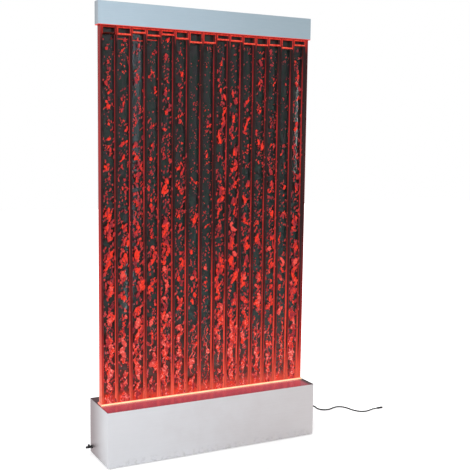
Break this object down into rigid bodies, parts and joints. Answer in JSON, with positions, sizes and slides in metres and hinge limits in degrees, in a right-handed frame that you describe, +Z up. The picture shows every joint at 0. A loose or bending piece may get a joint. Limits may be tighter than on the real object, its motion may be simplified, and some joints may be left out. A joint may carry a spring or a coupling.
{
  "type": "bubble wall panel",
  "caption": "Free-standing bubble wall: a thin upright water tank of vertical channels lit from below, in a steel base box with air pumps, under a lift-off cap.",
  "frame": {"origin": "on the floor under the middle of the base box, at the face of the middle rubber foot", "axes": "+X along the width towards the side that the lead runs to, -Y towards the viewer of the clear front sheet, +Z up"},
  "size_m": [1.5695, 0.4082, 1.91],
  "materials": {
    "satin_steel": "satin, fine vertical brushing",
    "polished_steel": "polished, reflects the glowing tank",
    "cap_aluminium": "satin anodised",
    "clear_acrylic": "clear, glossy",
    "black_acrylic": "glossy, near black",
    "edge_lit_acrylic": "clear strip that glows red from below",
    "frosted_acrylic": "frosted, lit from below",
    "water": "clear water in red light",
    "galvanised_steel": "galvanised",
    "mill_aluminium": "plain extruded",
    "zinc_screws": "zinc plated",
    "black_rubber": "matte",
    "cord_jacket": "satin",
    "clear_silicone": "milky, flexible",
    "black_plastic": "moulded, fine grain",
    "grey_plastic": "moulded",
    "white_plastic": "moulded",
    "pump_plastic": "moulded, dark blue grey",
    "circuit_board": "green lacquer",
    "copper_winding": "enamelled copper",
    "light_tape": "white flexible board",
    "light_chip": "cast resin, red light",
    "nickel": "nickel plated"
  },
  "bodies": {
    "base": {"base_shell": "satin_steel", "base_top_plate": "polished_steel", "rear_panel": "satin_steel", "bottom_tray": "galvanised_steel", "rubber_feet": "black_rubber", "rear_panel_screws": "zinc_screws", "tray_screws": "zinc_screws", "tank_cradle": "mill_aluminium", "tank_rest_strips": "black_rubber", "light_tapes": "light_tape", "light_chips": "light_chip", "cradle_stands": "galvanised_steel", "cradle_bolts": "zinc_screws", "tank_floor": "edge_lit_acrylic", "tank_front_sheet": "clear_acrylic", "tank_back_sheet": "black_acrylic", "tank_side_strips": "edge_lit_acrylic", "channel_dividers": "edge_lit_acrylic", "water_columns": "water", "bubble_nozzles": "grey_plastic", "drain_outlet": "grey_plastic", "light_bead": "frosted_acrylic", "pump_covers": "pump_plastic", "pump_bases": "black_plastic", "pump_feet": "black_rubber", "pump_air_chambers": "black_plastic", "pump_magnet_coils": "copper_winding", "air_manifold": "grey_plastic", "manifold_clips": "black_plastic", "nozzle_hoses": "clear_silicone", "feed_hoses": "clear_silicone", "check_valves": "white_plastic", "drain_cock": "black_plastic", "drain_locknut": "black_plastic", "drain_hose": "clear_silicone", "switch_housing": "black_plastic", "cable_gland": "black_plastic", "gland_locknut": "black_plastic", "strain_relief": "black_rubber", "terminal_block": "white_plastic", "controller_case": "white_plastic", "controller_lid": "white_plastic", "controller_board": "circuit_board", "supply_leads": "cord_jacket", "pump_leads": "cord_jacket", "light_leads": "cord_jacket", "cord_lead": "cord_jacket", "cord_coil": "cord_jacket", "cord_run": "cord_jacket", "cord_ties": "black_rubber", "plug_grip": "black_plastic", "plug_barrel": "nickel"},
    "cap": {"cap_channel": "cap_aluminium", "cap_ends": "cap_aluminium", "cap_pads": "black_rubber"},
    "drain_lever": {"drain_lever": "black_plastic"},
    "power_rocker": {"power_rocker": "black_plastic"},
    "dial_left": {"pump_dial_left": "white_plastic"},
    "dial_right": {"pump_dial_right": "white_plastic"}
  },
  "joints": [
    {"name": "cap_lift", "type": "slide", "parent": "base", "child": "cap", "axis": [0, 0, 1], "range_m": [0, 0.11]},
    {"name": "drain_lever_turn", "type": "hinge", "parent": "base", "child": "drain_lever", "pos_m": [-0.514, 0.095, 0.03], "axis": [0, 0, 1], "range_deg": [0, 90]},
    {"name": "rocker_tilt", "type": "hinge", "parent": "base", "child": "power_rocker", "pos_m": [0.33, 0.111, 0.15], "axis": [1, 0, 0], "range_deg": [-16, 0]},
    {"name": "dial_left_turn", "type": "hinge", "parent": "base", "child": "dial_left", "pos_m": [-0.19517, 0.07, 0.09], "axis": [0, 0, 1], "range_deg": [-135, 135]},
    {"name": "dial_right_turn", "type": "hinge", "parent": "base", "child": "dial_right", "pos_m": [0.25517, 0.07, 0.09], "axis": [0, 0, 1], "range_deg": [-135, 135]}
  ]
}
